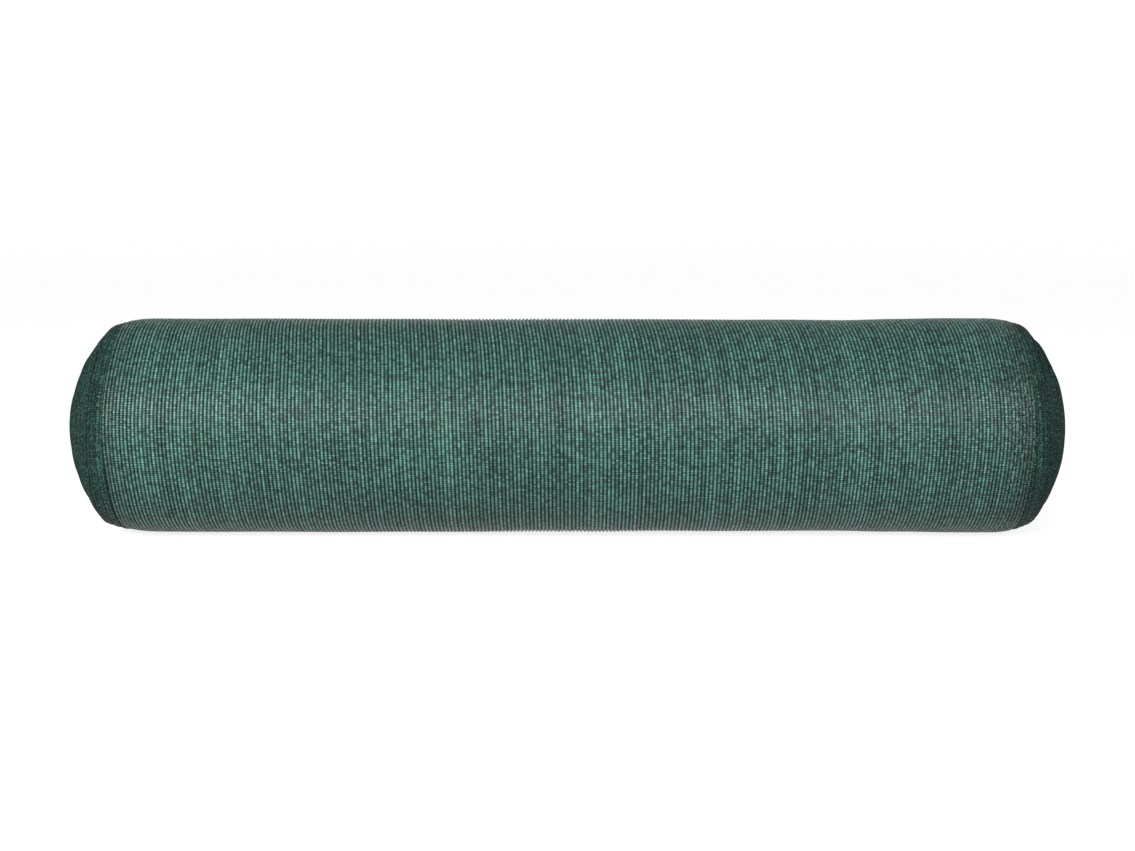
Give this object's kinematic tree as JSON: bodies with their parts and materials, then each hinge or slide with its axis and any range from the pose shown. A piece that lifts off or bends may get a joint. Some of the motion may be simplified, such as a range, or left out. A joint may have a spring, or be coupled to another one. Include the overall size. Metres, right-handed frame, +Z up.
{
  "type": "rolled privacy screen netting",
  "caption": "Tight coreless roll of dark green knitted privacy screen netting, lying on its side, with domed ends of wound turns.",
  "frame": {"origin": "on the ground, under the middle of the roll, at the centre of the strip it rests on", "axes": "+X along the roll's axis, +Y to its back, where the loose edge lies, +Z up"},
  "size_m": [1, 0.2202, 0.2166],
  "materials": {
    "netting": "matt knitted plastic tape, dark green, with a soft waxy glint on the crowns of the stitches"
  },
  "bodies": {
    "root": {"netting_roll": "netting"}
  },
  "joints": []
}
